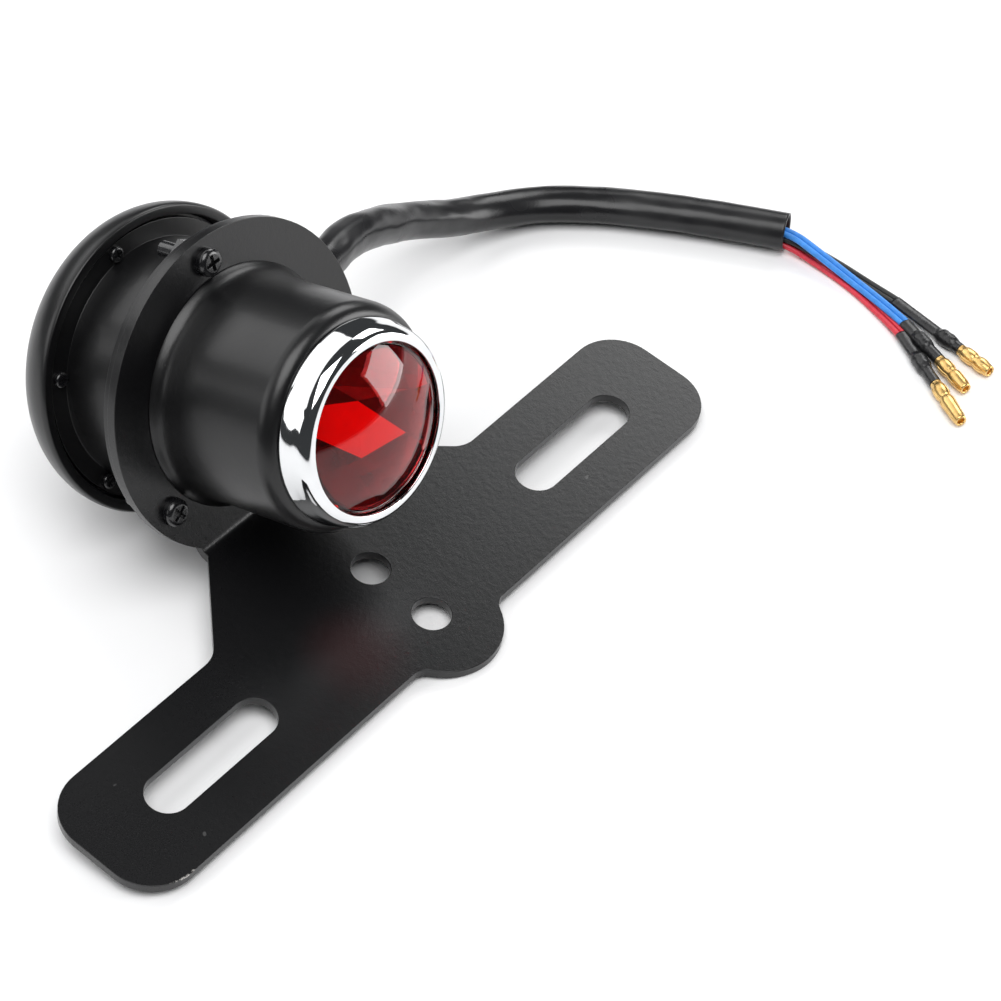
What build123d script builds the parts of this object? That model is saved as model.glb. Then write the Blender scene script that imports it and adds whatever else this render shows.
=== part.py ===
"""Round motorcycle tail light on a pressed licence-plate bracket, lying on a bench.

Millimetres, +Z up.  The wings of the bracket run along X, the lens looks towards -Y
and the mounting dish is at +Y.  The part rests on the bracket's front lobe and on the
rim of the dish, and its origin is on the bench under the middle of the metalwork.
"""
import os
from math import cos, pi, radians, sin, sqrt, tan

from build123d import *

# Attitude on the bench
lamp_tilt = 15.0            # the lamp's axis looks up by this much
plate_slope = 8.7           # the plate falls towards its front lobe by this much
plate_y = -37.3             # middle of the plate, behind or in front of the origin

# Pressed bracket
sheet = 2.4
wing_span = 200.0
wing_depth = 34.8
wing_corner = 11.6
slot_offset = 63.5
slot_travel = 27.5
slot_width = 10.6
hole_offset = 9.2
hole_radius = 4.65
lobe_radius = 14.1
lobe_offset = 12.5
neck_root = 43.9            # half width of the neck where it leaves the wings
bend_corner = 39.08         # from the middle of the plate to the bend's sharp corner
bend_radius = 2.0
ring_rise = 31.64           # from that corner up to the lamp's axis
ring_radius = 38.6
ring_bore = 14.0
flange_screw_circle = 33.0
housing_screw_circle = 20.0

# Lamp, by radius and by station along the axis from the bracket ring's front face
housing_radius = 26.5
housing_wall = 2.2
shoulder_station = 35.2
spigot_radius = 21.7
spigot_end = 38.6
floor_station = 5.0
floor_thickness = 2.5
bezel_clearance = 0.1
bezel_front = 42.8
lens_opening = 19.7
lens_flange = (40.1, 41.9)
dome_height = 5.6
dome_thickness = 2.2

# Bulb and its holder
bulb_cap_radius = 7.6
globe_radius = 12.5
globe_station = 20.0
cap_stations = (-11.0, 5.0)
socket_radius = 8.7
socket_rear = -18.0
press_travel = 2.5
bulb_turn = 30.0
pin_stations = (-1.0, -4.0)

# Spacer and dish behind the bracket
spacer_flange_radius = 37.8
spacer_flange = 2.0
neck_radius = 28.0
neck_bore = 24.0
base_flange_radius = 33.2
base_flange = (-26.5, -29.0)
dish_screw_circle = 31.0
dish_arc_radius = 12.8
dish_arc_station = -26.6
dish_wall = 2.2
dish_lip_station = -25.2
grommet_station = -14.5
stud_spacing = 24.0
stud_radius = 3.0
stud_shoulder = 3.3
stud_end = -55.0

# Wiring
sleeve_diameter = 10.0
wire_diameter = 1.5
wire_pitch = 1.56


def above(low, run):
    """Height reached by a run along the plate, starting from a height."""
    return low + run * sin(radians(plate_slope))


# The plate's top face, standing so that the lobe's lower edge touches the bench
plate_origin = Vector(
    0, plate_y, above(sheet * cos(radians(plate_slope)), lobe_offset + lobe_radius)
)
along_plate = Vector(0, cos(radians(plate_slope)), sin(radians(plate_slope)))
plate_normal = Vector(0, -sin(radians(plate_slope)), cos(radians(plate_slope)))
plate_plane = Plane(origin=plate_origin, x_dir=(1, 0, 0), z_dir=plate_normal)
side_plane = Plane(origin=plate_origin, x_dir=along_plate, z_dir=(1, 0, 0))

# The lamp's axis, square to the bracket ring
lamp_dir = Vector(0, -cos(radians(lamp_tilt)), sin(radians(lamp_tilt)))
ring_up = Vector(0, sin(radians(lamp_tilt)), cos(radians(lamp_tilt)))
lamp_centre = plate_origin + along_plate * bend_corner + ring_up * ring_rise
lamp_axis = Axis(lamp_centre, lamp_dir)
section_plane = Plane(origin=lamp_centre, x_dir=(1, 0, 0), z_dir=-ring_up)


def lamp_at(station):
    """Plane square to the lamp's axis, its X along the wings and its Y upwards."""
    return Plane(origin=lamp_centre + lamp_dir * station, x_dir=(1, 0, 0), z_dir=lamp_dir)


def lamp_section(*points):
    """Closed outline of (radius, station) points in a plane through the lamp's axis."""
    with BuildSketch(section_plane) as section:
        with BuildLine():
            Polyline(*points, close=True)
        make_face()
    return section.sketch


def turned(*points):
    """Round piece about the lamp's axis, from the outline of one side of it."""
    with BuildPart() as piece:
        revolve(lamp_section(*points), axis=lamp_axis)
    return piece.part


def pan_screw(head_radius, head_height, shank_radius, length):
    """Cross-recess pan-head screw, standing head up with its seat at the origin."""
    with BuildPart() as screw:
        Cylinder(head_radius, head_height, align=(Align.CENTER, Align.CENTER, Align.MIN))
        fillet(screw.faces().sort_by(Axis.Z)[-1].edges(), head_height * 0.55)
        with Locations((0, 0, head_height)):
            Box(head_radius * 1.2, head_radius * 0.28, head_height, mode=Mode.SUBTRACT)
            Box(head_radius * 0.28, head_radius * 1.2, head_height, mode=Mode.SUBTRACT)
        Cylinder(shank_radius, length, align=(Align.CENTER, Align.CENTER, Align.MAX))
    return screw.part


def hex_nut(across_flats, thickness, bore):
    """Hexagon nut standing on the origin."""
    with BuildPart() as nut:
        with BuildSketch():
            RegularPolygon(across_flats / 2, 6, major_radius=False)
            Circle(bore, mode=Mode.SUBTRACT)
        extrude(amount=thickness)
    return nut.part


os.makedirs("parts", exist_ok=True)

# ---------------------------------------------------------------- pressed bracket
bend_angle = 90 - (lamp_tilt + plate_slope)
bend_setback = bend_radius * tan(radians(bend_angle / 2))
bend_start = bend_corner - bend_setback
ring_cut = ring_rise - bend_setback
neck_half = sqrt(ring_radius**2 - ring_cut**2)
ring_ground = 20.0

with BuildPart() as licence_bracket:
    with BuildSketch(plate_plane):
        Rectangle(wing_span, wing_depth)
        fillet(vertices(), wing_corner)
        with Locations((0, -lobe_offset)):
            Circle(lobe_radius)
        with BuildLine():
            Polyline(
                (-neck_half, bend_start),
                (neck_half, bend_start),
                (neck_root, wing_depth / 2),
                (neck_root, 0),
                (-neck_root, 0),
                (-neck_root, wing_depth / 2),
                close=True,
            )
        make_face()
        fillet(vertices().filter_by(lambda v: abs(abs(v.X) - neck_root) < 0.01), 7.0)
        fillet(
            vertices().filter_by(
                lambda v: abs(v.Y + wing_depth / 2) < 0.01 and abs(v.X) < lobe_radius
            ),
            4.0,
        )
        with Locations((-slot_offset, 0), (slot_offset, 0)):
            SlotCenterToCenter(slot_travel, slot_width, mode=Mode.SUBTRACT)
        with Locations((0, hole_offset), (0, -hole_offset)):
            Circle(hole_radius, mode=Mode.SUBTRACT)
    extrude(amount=-sheet)
    with BuildSketch(side_plane.offset(-neck_half)):
        with BuildLine():
            inner = CenterArc((bend_start, bend_radius), bend_radius, -90, bend_angle)
            outer = CenterArc((bend_start, bend_radius), bend_radius + sheet, -90, bend_angle)
            Line(inner @ 0, outer @ 0)
            Line(inner @ 1, outer @ 1)
        make_face()
    extrude(amount=2 * neck_half)
    with BuildSketch(lamp_at(0)):
        Circle(ring_radius)
        with Locations((0, -ring_cut - ring_ground)):
            Rectangle(3 * ring_radius, 2 * ring_ground, mode=Mode.SUBTRACT)
        Circle(ring_bore, mode=Mode.SUBTRACT)
        with PolarLocations(flange_screw_circle, 3, start_angle=90):
            Circle(2.2, mode=Mode.SUBTRACT)
        with PolarLocations(housing_screw_circle, 3, start_angle=30):
            Circle(2.2, mode=Mode.SUBTRACT)
    extrude(amount=-sheet)
licence_bracket.part.label = "licence_bracket"
export_step(licence_bracket.part, "parts/licence_bracket.step")

# ---------------------------------------------------------------- lamp housing
bore_radius = housing_radius - housing_wall
spigot_bore = spigot_radius - housing_wall
with BuildPart() as lamp_housing:
    add(turned(
        (28.6, 0), (28.6, 0.8), (27.2, 1.8), (housing_radius, 3.4), (housing_radius, 31.2),
        (26.1, 33.0), (25.0, 34.5), (23.4, shoulder_station), (spigot_radius, shoulder_station),
        (spigot_radius, spigot_end), (spigot_bore, spigot_end), (spigot_bore, 35.4),
        (bore_radius, 31.0), (bore_radius, floor_station), (9.3, floor_station),
        (9.3, floor_station - floor_thickness), (bore_radius, floor_station - floor_thickness),
        (bore_radius, 0),
    ))
    with BuildSketch(lamp_at(0)):
        with PolarLocations(housing_screw_circle, 3, start_angle=30):
            Circle(4.2)
    extrude(amount=floor_station)
    with BuildSketch(lamp_at(0)):
        with PolarLocations(housing_screw_circle, 3, start_angle=30):
            Circle(2.0)
    extrude(amount=floor_station, mode=Mode.SUBTRACT)
lamp_housing.part.label = "lamp_housing"
export_step(lamp_housing.part, "parts/lamp_housing.step")

with BuildPart() as housing_screws:
    with Locations(lamp_at(-sheet).rotated((180, 0, 0))):
        with PolarLocations(housing_screw_circle, 3, start_angle=-30):
            add(pan_screw(3.3, 2.2, 2.0, sheet + 4.4))
housing_screws.part.label = "housing_screws"
export_step(housing_screws.part, "parts/housing_screws.step")

# ---------------------------------------------------------------- bezel and lens
with BuildPart() as lens_bezel:
    add(turned(
        (spigot_radius + bezel_clearance, shoulder_station + 0.1), (23.7, shoulder_station + 0.1),
        (23.75, 36.0), (23.3, 38.4), (22.95, 40.2), (22.5, 41.4), (21.9, 42.3), (21.0, bezel_front),
        (lens_opening, bezel_front), (lens_opening, lens_flange[1]),
        (spigot_radius + bezel_clearance, lens_flange[1]),
    ))
lens_bezel.part.label = "lens_bezel"
export_step(lens_bezel.part, "parts/lens_bezel.step")

lens_rim = spigot_radius - 0.1


def cap_points(edge, foot, height):
    """Foot, middle and top of a spherical cap's section, by radius and station."""
    sphere = (edge**2 + height**2) / (2 * height)
    middle = edge / 2, foot + height - sphere + sqrt(sphere**2 - edge**2 / 4)
    return (edge, foot), middle, (0, foot + height)


with BuildPart() as lens:
    with BuildSketch(section_plane):
        with BuildLine():
            outside = ThreePointArc(*cap_points(lens_opening - 0.3, lens_flange[1], dome_height))
            inside = ThreePointArc(
                *cap_points(lens_opening - 1.9, lens_flange[0], lens_flange[1] - lens_flange[0]
                            + dome_height - dome_thickness)
            )
            Line(outside @ 1, inside @ 1)
            Polyline(
                outside @ 0, (lens_rim, lens_flange[1]), (lens_rim, lens_flange[0]), inside @ 0
            )
        make_face()
    revolve(axis=lamp_axis)
lens.part.label = "lens"
export_step(lens.part, "parts/lens.step")

with BuildPart() as lens_gasket:
    add(turned((18.6, 39.1), (lens_rim, 39.1), (lens_rim, lens_flange[0]), (18.6, lens_flange[0])))
lens_gasket.part.label = "lens_gasket"
export_step(lens_gasket.part, "parts/lens_gasket.step")

with BuildPart() as reflector:
    add(turned(
        (lens_rim, spigot_end), (lens_rim, 39.1), (18.4, 39.1), (16.6, 28.0), (13.6, 16.0),
        (9.8, 7.5), (10.6, 7.5), (14.4, 16.0), (17.4, 28.0), (19.2, spigot_end),
    ))
reflector.part.label = "reflector"
export_step(reflector.part, "parts/reflector.step")

# ---------------------------------------------------------------- bulb and holder
socket_bore = bulb_cap_radius + 0.3
window = (pin_stations[0] + 1.4, pin_stations[1] - 1.4 - press_travel)
window_start, window_reach = -10.0, 12.0
window_angle = bulb_turn + 20.0
with BuildPart() as bulb_socket:
    add(turned(
        (socket_bore, floor_station + 1.2), (13.0, floor_station + 1.2), (13.0, floor_station),
        (socket_radius, floor_station), (socket_radius, socket_rear), (5.0, socket_rear),
        (5.0, socket_rear + 0.8), (socket_bore, socket_rear + 0.8),
    ))
    for side in (0, 180):
        low, high = radians(side + window_start), radians(side + window_start + window_angle)
        with BuildSketch(lamp_at(window[1])):
            with BuildLine():
                Polyline(
                    (0, 0),
                    (window_reach * cos(low), window_reach * sin(low)),
                    (window_reach * cos(high), window_reach * sin(high)),
                    close=True,
                )
            make_face()
        extrude(amount=window[0] - window[1], mode=Mode.SUBTRACT)
bulb_socket.part.label = "bulb_socket"
export_step(bulb_socket.part, "parts/bulb_socket.step")

with BuildPart() as bulb_cap:
    add(turned((0, cap_stations[0]), (bulb_cap_radius, cap_stations[0]),
               (bulb_cap_radius, cap_stations[1]), (0, cap_stations[1])))
    for station, turn in zip(pin_stations, (90, -90)):
        with Locations(lamp_at(station)):
            with Locations(Rotation(0, turn, 0)):
                Cylinder(1.0, 8.5, align=(Align.CENTER, Align.CENTER, Align.MIN))
    with Locations(lamp_at(cap_stations[0])):
        with Locations((-3, 0), (3, 0)):
            Cylinder(1.6, 0.9, align=(Align.CENTER, Align.CENTER, Align.MAX))
bulb_cap.part.label = "bulb_cap"
export_step(bulb_cap.part, "parts/bulb_cap.step")


def globe(radius, neck):
    """Outline of a globe and its neck: the points where the neck meets the globe."""
    return (neck, globe_station - sqrt(radius**2 - neck**2)), (radius, globe_station)


with BuildPart() as bulb_glass:
    with BuildSketch(section_plane):
        with BuildLine():
            for radius, neck in ((globe_radius, 7.0), (globe_radius - 0.7, 6.3)):
                start, widest = globe(radius, neck)
                Line((neck, cap_stations[1]), start)
                ThreePointArc(start, widest, (0, globe_station + radius))
            Line((6.3, cap_stations[1]), (7.0, cap_stations[1]))
            Line((0, globe_station + globe_radius - 0.7), (0, globe_station + globe_radius))
        make_face()
    revolve(axis=lamp_axis)
bulb_glass.part.label = "bulb_glass"
export_step(bulb_glass.part, "parts/bulb_glass.step")

with BuildPart() as filament_mount:
    add(turned((0, cap_stations[1]), (3.0, cap_stations[1]), (2.2, 11.0), (1.2, 13.0), (0, 13.0)))
    with Locations(lamp_at(12.0)):
        with Locations((-1.0, 0), (1.0, 0), (0, -0.9), (0, 0.9)):
            Cylinder(0.25, 8.9, align=(Align.CENTER, Align.CENTER, Align.MIN))
filament_mount.part.label = "filament_mount"
export_step(filament_mount.part, "parts/filament_mount.step")

with BuildPart() as filaments:
    for station in (21.3, 22.6):
        with Locations(lamp_at(station)):
            with Locations(Rotation(0, 90, 0)):
                Cylinder(0.4, 7.0)
filaments.part.label = "filaments"
export_step(filaments.part, "parts/filaments.step")

carrier_front = cap_stations[0] - 0.9
with BuildPart() as contact_carrier:
    add(turned((0, carrier_front - 0.3), (7.4, carrier_front - 0.3), (7.4, carrier_front - 2.0),
               (0, carrier_front - 2.0)))
    with BuildSketch(lamp_at(carrier_front)):
        with Locations((-3, 0), (3, 0)):
            Circle(1.5)
    extrude(amount=-2.4, mode=Mode.SUBTRACT)
contact_carrier.part.label = "contact_carrier"
export_step(contact_carrier.part, "parts/contact_carrier.step")

with BuildPart() as contact_pads:
    with Locations(lamp_at(carrier_front)):
        with Locations((-3, 0), (3, 0)):
            Cylinder(1.5, 2.3, align=(Align.CENTER, Align.CENTER, Align.MAX))
contact_pads.part.label = "contact_pads"
export_step(contact_pads.part, "parts/contact_pads.step")

spring_radius, spring_wire, spring_coils = 6.2, 0.35, 3
spring_seat = socket_rear + 0.8 + spring_wire
spring_top = carrier_front - 2.0 - spring_wire
with BuildPart() as contact_spring:
    with BuildLine() as coil:
        Helix(
            pitch=(spring_top - spring_seat) / spring_coils,
            height=spring_top - spring_seat,
            radius=spring_radius,
            center=lamp_at(spring_seat).origin,
            direction=lamp_dir,
        )
    with BuildSketch(Plane(origin=coil.line @ 0, z_dir=coil.line % 0)):
        Circle(spring_wire)
    sweep(is_frenet=True)
contact_spring.part.label = "contact_spring"
export_step(contact_spring.part, "parts/contact_spring.step")

# ---------------------------------------------------------------- spacer behind the ring
spacer_front = -sheet
spacer_back = spacer_front - spacer_flange
with BuildPart() as neck_spacer:
    add(turned(
        (neck_bore, spacer_front), (spacer_flange_radius, spacer_front),
        (spacer_flange_radius, spacer_back), (neck_radius, spacer_back), (neck_radius - 0.6, -8.0),
        (neck_radius + 0.4, base_flange[0] + 2.0), (neck_radius + 0.9, base_flange[0]),
        (base_flange_radius, base_flange[0]), (base_flange_radius, base_flange[1]),
        (neck_bore, base_flange[1]),
    ))
    with BuildSketch(lamp_at(spacer_front)):
        with PolarLocations(flange_screw_circle, 3, start_angle=90):
            Circle(2.2)
    extrude(amount=-spacer_flange, mode=Mode.SUBTRACT)
    with BuildSketch(lamp_at(base_flange[0])):
        with PolarLocations(dish_screw_circle, 6, start_angle=37):
            Circle(1.3)
    extrude(amount=base_flange[1] - base_flange[0], mode=Mode.SUBTRACT)
    with Locations(lamp_at(grommet_station)):
        with Locations(Rotation(0, 90, 0)):
            Cylinder(6.6, 40, align=(Align.CENTER, Align.CENTER, Align.MIN), mode=Mode.SUBTRACT)
neck_spacer.part.label = "neck_spacer"
export_step(neck_spacer.part, "parts/neck_spacer.step")

with BuildPart() as flange_screws:
    with Locations(lamp_at(0)):
        with PolarLocations(flange_screw_circle, 3, start_angle=90):
            add(pan_screw(3.3, 2.4, 2.0, 13.5))
flange_screws.part.label = "flange_screws"
export_step(flange_screws.part, "parts/flange_screws.step")

with BuildPart() as flange_nuts:
    with Locations(lamp_at(spacer_back - 3.2)):
        with PolarLocations(flange_screw_circle, 3, start_angle=90):
            add(hex_nut(7.0, 3.2, 2.0))
flange_nuts.part.label = "flange_nuts"
export_step(flange_nuts.part, "parts/flange_nuts.step")

with BuildPart() as wire_grommet:
    with Locations(lamp_at(grommet_station)):
        with Locations(Rotation(0, 90, 0)):
            with Locations((0, 0, neck_bore - 0.5)):
                Cylinder(6.5, 9.0, align=(Align.CENTER, Align.CENTER, Align.MIN))
                Cylinder(5.0, 9.0, align=(Align.CENTER, Align.CENTER, Align.MIN), mode=Mode.SUBTRACT)
wire_grommet.part.label = "wire_grommet"
export_step(wire_grommet.part, "parts/wire_grommet.step")

# ---------------------------------------------------------------- mounting dish
# The rounded rim is an arc whose centre stands so that the rim touches the bench.
dish_arc_centre = (
    lamp_centre.Z + dish_arc_station * sin(radians(lamp_tilt)) - dish_arc_radius
) / cos(radians(lamp_tilt))
dish_back = dish_arc_station - dish_arc_radius
floor_back = base_flange[1] - dish_wall
inner_arc = dish_arc_radius - dish_wall
lip_radius = dish_arc_centre + dish_arc_radius - 0.9


def on_dish_arc(radius, angle):
    """Point of an arc of the rim, by the angle forward of square to the axis."""
    return (
        dish_arc_centre + radius * cos(radians(angle)),
        dish_arc_station + radius * sin(radians(angle)),
    )


with BuildPart() as mounting_dish:
    with BuildSketch(section_plane):
        with BuildLine():
            outer_start = on_dish_arc(dish_arc_radius, 3)
            outer_end = on_dish_arc(dish_arc_radius, -90)
            ThreePointArc(outer_start, on_dish_arc(dish_arc_radius, -43), outer_end)
            inner_start = (
                dish_arc_centre + sqrt(inner_arc**2 - (floor_back - dish_arc_station) ** 2),
                floor_back,
            )
            inner_end = on_dish_arc(inner_arc, -90)
            ThreePointArc(inner_start, on_dish_arc(inner_arc, -60), inner_end)
            Polyline(
                outer_start, (lip_radius, dish_lip_station), (lip_radius - 1.4, dish_lip_station),
                (lip_radius - 1.9, base_flange[1]), (neck_bore - 3.0, base_flange[1]),
                (neck_bore - 3.0, floor_back), inner_start,
            )
            Polyline(inner_end, (19.6, dish_back + dish_wall), (19.6, dish_back), outer_end)
        make_face()
    revolve(axis=lamp_axis)
    with BuildSketch(lamp_at(base_flange[1])):
        with PolarLocations(dish_screw_circle, 6, start_angle=37):
            Circle(1.3)
    extrude(amount=-dish_wall, mode=Mode.SUBTRACT)
mounting_dish.part.label = "mounting_dish"
export_step(mounting_dish.part, "parts/mounting_dish.step")

with BuildPart() as dish_screws:
    with Locations(lamp_at(base_flange[0])):
        with PolarLocations(dish_screw_circle, 6, start_angle=37):
            add(pan_screw(1.9, 1.3, 1.3, 4.6))
dish_screws.part.label = "dish_screws"
export_step(dish_screws.part, "parts/dish_screws.step")

plate_front = dish_back + dish_wall + 2.0
with BuildPart() as stud_plate:
    with BuildSketch(lamp_at(plate_front)):
        Circle(23.0)
        with Locations((-stud_spacing / 2, 0), (stud_spacing / 2, 0)):
            Circle(stud_shoulder, mode=Mode.SUBTRACT)
    extrude(amount=-2.0)
stud_plate.part.label = "stud_plate"
export_step(stud_plate.part, "parts/stud_plate.step")

with BuildPart() as mounting_studs:
    with Locations(lamp_at(plate_front)):
        with Locations((-stud_spacing / 2, 0), (stud_spacing / 2, 0)):
            Cylinder(stud_radius, plate_front - stud_end, align=(Align.CENTER, Align.CENTER, Align.MAX))
            Cylinder(stud_shoulder, 2.0, align=(Align.CENTER, Align.CENTER, Align.MAX))
            Cylinder(4.6, 1.6, align=(Align.CENTER, Align.CENTER, Align.MIN))
mounting_studs.part.label = "mounting_studs"
export_step(mounting_studs.part, "parts/mounting_studs.step")

with BuildPart() as rear_pad:
    with BuildSketch(lamp_at(dish_back)):
        Circle(dish_arc_centre)
        Circle(19.6, mode=Mode.SUBTRACT)
    extrude(amount=-1.6)
rear_pad.part.label = "rear_pad"
export_step(rear_pad.part, "parts/rear_pad.step")

# ---------------------------------------------------------------- wiring
sleeve_route = [
    (31.0, 23.4, 39.1), (46.0, 26.2, 38.6), (61.5, 31.4, 34.8), (77.0, 34.2, 27.0),
    (91.5, 35.6, 18.2), (105.5, 34.8, 10.6), (118.0, 31.6, 6.6), (129.6, 24.8, 5.3),
    (140.0, 11.6, 5.2), (149.0, -4.4, 5.2), (155.8, -18.6, 5.2), (161.0, -31.0, 5.3),
]
pair_routes = {
    "red": [(160.6, -31.4, 2.2), (160.4, -42.3, 0.9), (158.6, -53.0, 0.8),
            (155.3, -63.5, 0.8), (150.9, -73.7, 1.5)],
    "blue": [(160.9, -31.0, 6.2), (160.1, -42.2, 4.3), (159.3, -52.0, 2.4),
             (157.1, -62.0, 2.3), (154.0, -72.5, 2.4)],
    "black": [(160.6, -31.1, 4.1), (161.7, -39.2, 2.8), (162.7, -47.2, 1.2),
              (161.9, -56.0, 0.8), (160.3, -65.5, 1.5)],
}
# Each bullet's tip, the length of its heat-shrink and where the crimp swells it
pair_ends = {
    "red": ((133.0, -103.0, 2.1), 20.0, 10.2),
    "blue": ((143.5, -97.6, 2.1), 15.5, 6.6),
    "black": ((152.6, -98.7, 2.1), 23.8, 17.4),
}


def cord_tube(route, diameter):
    """Tube of straight runs joined by the largest arcs that the runs allow."""
    corners = [Vector(*point) for point in route]
    radii = []
    for before, here, after in zip(corners, corners[1:], corners[2:]):
        arriving, leaving = here - before, after - here
        half_turn = radians(arriving.get_angle(leaving)) / 2
        radii.append(0.45 * min(arriving.length, leaving.length) / tan(half_turn))
    with BuildPart() as tube:
        with BuildLine() as path:
            FilletPolyline(*corners, radius=radii)
        with BuildSketch(Plane(origin=path.line @ 0, z_dir=path.line % 0)):
            Circle(diameter / 2)
        sweep()
    length = sum(edge.length for edge in path.edges())
    share = tube.part.volume / (pi * diameter**2 / 4 * length)
    print(f"cord {diameter} mm, {length:.1f} mm long, volume {share:.4f} of section times length,"
          f" least radius {min(radii):.1f}, radii {[round(r, 1) for r in radii]}")
    return tube.part


def beside(route, side):
    """The route of one wire of a pair, half a pitch to one side along the bench."""
    corners = [Vector(*point) for point in route]
    moved = []
    for index, here in enumerate(corners):
        heading = corners[min(index + 1, len(corners) - 1)] - corners[max(index - 1, 0)]
        across = Vector(-heading.Y, heading.X, 0).normalized()
        moved.append(here + across * (side * wire_pitch / 2))
    return moved


with BuildPart() as wire_sleeve:
    add(cord_tube(sleeve_route, sleeve_diameter))
wire_sleeve.part.label = "wire_sleeve"
export_step(wire_sleeve.part, "parts/wire_sleeve.step")

for colour, route in pair_routes.items():
    for letter, side in (("a", -1), ("b", 1)):
        with BuildPart() as wire:
            add(cord_tube(beside(route, side), wire_diameter))
        wire.part.label = f"wire_{colour}_{letter}"
        export_step(wire.part, f"parts/{wire.part.label}.step")


def along_pair_end(route, tip):
    """Plane at the end of a pair of wires, its Z towards the tip of the bullet."""
    start = Vector(*route[-1])
    return Plane(origin=start, z_dir=Vector(*tip) - start)


for colour, (tip, shrink_length, swell) in pair_ends.items():
    end_plane = along_pair_end(pair_routes[colour], tip)
    bullet_length = (Vector(*tip) - end_plane.origin).length - shrink_length
    with BuildPart() as heat_shrink:
        with BuildSketch(Plane.XZ):
            with BuildLine():
                Polyline(
                    (0, 0), (1.4, 0), (1.5, swell - 2.0), (2.0, swell), (2.0, swell + 3.0),
                    (1.6, swell + 5.0), (1.6, shrink_length), (0, shrink_length), close=True,
                )
            make_face()
        revolve(axis=Axis.Z)
    shrink_piece = end_plane.location * heat_shrink.part
    shrink_piece.label = f"heat_shrink_{colour}"
    export_step(shrink_piece, f"parts/{shrink_piece.label}.step")
    with BuildPart() as bullet:
        with BuildSketch(Plane.XZ):
            with BuildLine():
                Polyline(
                    (0, 0), (1.5, 0), (1.5, 1.0), (1.95, 1.8), (1.95, 4.2), (1.6, 5.2),
                    (1.95, 6.4), (1.95, 7.8), (1.35, bullet_length),
                    (0.9, bullet_length), (0.9, bullet_length - 2.5), (0, bullet_length - 2.5),
                    close=True,
                )
            make_face()
        revolve(axis=Axis.Z)
    bullet_piece = end_plane.offset(shrink_length).location * bullet.part
    bullet_piece.label = f"bullet_{colour}"
    export_step(bullet_piece, f"parts/{bullet_piece.label}.step")
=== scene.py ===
"""Round motorcycle tail light on its licence-plate bracket, lying on a white bench.

Metres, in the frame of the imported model: the bracket's wings run along X, the lens looks
towards -Y and a little up, and the wires lie on the bench at +X.
"""
from math import asin, cos, radians, sin, tau

import bmesh
import bpy
from mathutils import Matrix, Vector, noise


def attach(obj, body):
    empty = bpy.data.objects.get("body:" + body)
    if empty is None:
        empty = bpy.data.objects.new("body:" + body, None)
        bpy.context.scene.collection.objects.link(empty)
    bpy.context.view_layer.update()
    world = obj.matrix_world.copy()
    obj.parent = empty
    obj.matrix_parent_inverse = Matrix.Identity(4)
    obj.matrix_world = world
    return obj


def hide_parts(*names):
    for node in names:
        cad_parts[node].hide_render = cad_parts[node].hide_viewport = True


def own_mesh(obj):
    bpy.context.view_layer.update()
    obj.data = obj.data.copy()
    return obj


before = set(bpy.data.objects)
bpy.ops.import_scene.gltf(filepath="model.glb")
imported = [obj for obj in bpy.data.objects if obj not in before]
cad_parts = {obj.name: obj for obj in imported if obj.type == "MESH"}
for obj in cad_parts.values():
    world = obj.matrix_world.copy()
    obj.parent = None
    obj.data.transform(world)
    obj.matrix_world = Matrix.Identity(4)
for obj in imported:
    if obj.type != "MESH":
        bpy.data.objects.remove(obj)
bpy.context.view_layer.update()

scene = bpy.context.scene

# ------------------------------------------------------------------ camera
# A long lens from the left and above, 45 degrees over the bench.
camera = bpy.data.objects.new("camera", bpy.data.cameras.new("camera"))
scene.collection.objects.link(camera)
camera.data.lens, camera.data.sensor_width = 113.28, 36.0
camera.data.clip_start, camera.data.clip_end = 0.05, 20.0
right = Vector((0.6294, -0.7770, 0.0101)).normalized()
forward = Vector((0.5544, 0.4398, -0.7066)).normalized()
upward = right.cross(forward)
camera.matrix_world = Matrix.Translation((-0.37281, -0.36164, 0.52885)) @ Matrix(
    (right, upward, -forward)
).transposed().to_4x4()
scene.camera = camera

# ------------------------------------------------------------------ bench and lights
# A matt white sheet, a wide softbox overhead, three behind and two at the right.
scene.view_settings.view_transform = "Standard"
bench_colour = (0.93, 0.93, 0.935, 1)
bench_half = 4.0

bm = bmesh.new()
bmesh.ops.create_grid(bm, x_segments=1, y_segments=1, size=bench_half)
mesh = bpy.data.meshes.new("bench")
bm.to_mesh(mesh)
bm.free()
bench = bpy.data.objects.new("bench", mesh)
scene.collection.objects.link(bench)
bench_paint = bpy.data.materials.new("bench_paint")
bench_paint.use_nodes = True
bench_shader = bench_paint.node_tree.nodes["Principled BSDF"]
bench_shader.inputs["Base Color"].default_value = bench_colour
bench_shader.inputs["Roughness"].default_value = 0.9
bench_shader.inputs["Specular IOR Level"].default_value = 0.1
mesh.materials.append(bench_paint)

world = bpy.data.worlds.new("studio")
world.use_nodes = True
world.node_tree.nodes["Background"].inputs["Color"].default_value = (0.9, 0.95, 1.0, 1)
world.node_tree.nodes["Background"].inputs["Strength"].default_value = 0.05
scene.world = world


def softbox(name, place, aim, size, power):
    """Rectangular light at a place, facing a point."""
    data = bpy.data.lights.new(name, "AREA")
    data.shape, data.size, data.size_y = "RECTANGLE", size[0], size[1]
    data.energy = power
    lamp = bpy.data.objects.new(name, data)
    lamp.location = place
    lamp.rotation_mode = "QUATERNION"
    lamp.rotation_quaternion = (Vector(aim) - Vector(place)).to_track_quat("-Z", "Y")
    scene.collection.objects.link(lamp)


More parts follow.
